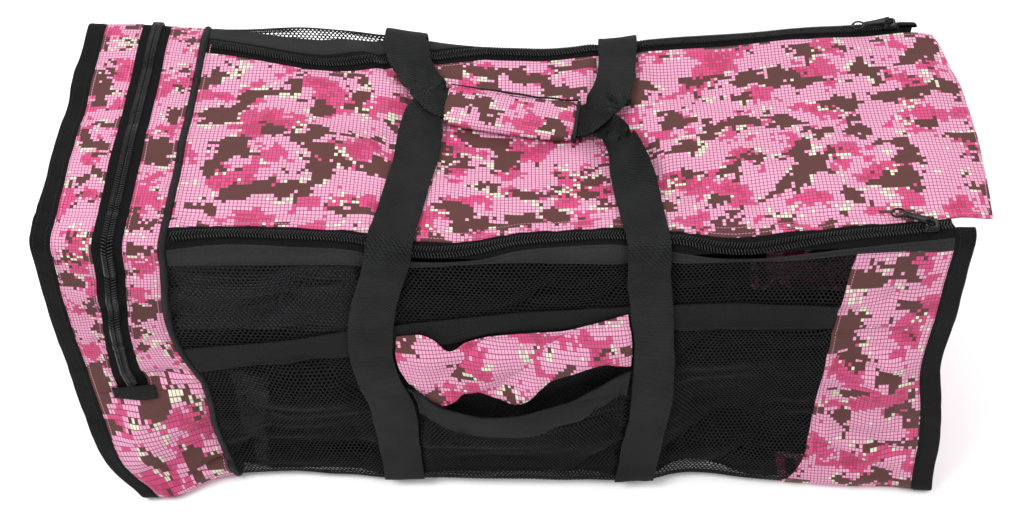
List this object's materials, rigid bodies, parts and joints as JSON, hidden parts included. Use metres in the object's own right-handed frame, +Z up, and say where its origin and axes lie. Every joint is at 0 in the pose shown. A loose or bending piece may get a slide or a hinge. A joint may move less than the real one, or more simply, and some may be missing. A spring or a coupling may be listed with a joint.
{
  "type": "mesh dive gear bag",
  "caption": "Large soft duffel with net walls, camouflage lid and end pocket, webbing handles joined in a padded grip, coil zippers and a front pocket.",
  "frame": {"origin": "on the floor under the middle of the bag's bounding box", "axes": "+X along the bag towards the lid's free end, -Y towards the front wall with the pocket, +Z up"},
  "size_m": [0.9574, 0.3982, 0.4161],
  "materials": {
    "camouflage": "matte coated weave",
    "black_cloth": "matte weave",
    "webbing": "ribbed satin weave",
    "net": "open knit",
    "zipper": "satin",
    "slider": "satin black"
  },
  "bodies": {
    "bag": {"end_gusset": "camouflage", "end_zip_tape": "zipper", "end_zip_coil": "zipper", "end_zip_tab_front": "black_cloth", "end_zip_tab_rear": "black_cloth", "left_binding": "black_cloth", "right_binding": "black_cloth", "piping": "black_cloth", "left_end_panel": "camouflage", "end_pocket_wall": "black_cloth", "right_end_panel": "camouflage", "base_panel": "black_cloth", "lid": "camouflage", "front_zip_tape": "zipper", "rear_zip_tape": "zipper", "front_zip_coil": "zipper", "rear_zip_coil": "zipper", "front_zip_band": "black_cloth", "rear_zip_band": "black_cloth", "front_side_panel": "camouflage", "rear_side_panel": "camouflage", "front_net": "net", "rear_net": "net", "front_mid_band": "webbing", "rear_mid_band": "webbing", "front_handle": "webbing", "rear_handle": "webbing", "grip": "camouflage", "pocket_flap": "camouflage", "pocket_net": "net", "pocket_binding": "black_cloth", "front_slider": "slider", "rear_slider": "slider", "end_zip_slider": "slider"},
    "front_pull": {"front_pull": "slider"},
    "rear_pull": {"rear_pull": "slider"}
  },
  "joints": [
    {"name": "front_pull_swing", "type": "hinge", "parent": "bag", "child": "front_pull", "pos_m": [0.40329, -0.14006, 0.41332], "axis": [0.5632, 0.8244, 0.0573], "range_deg": [0, 150]},
    {"name": "rear_pull_swing", "type": "hinge", "parent": "bag", "child": "rear_pull", "pos_m": [0.41516, 0.17301, 0.40666], "axis": [-0.0595, 0.9979, -0.0266], "range_deg": [0, 150]}
  ]
}
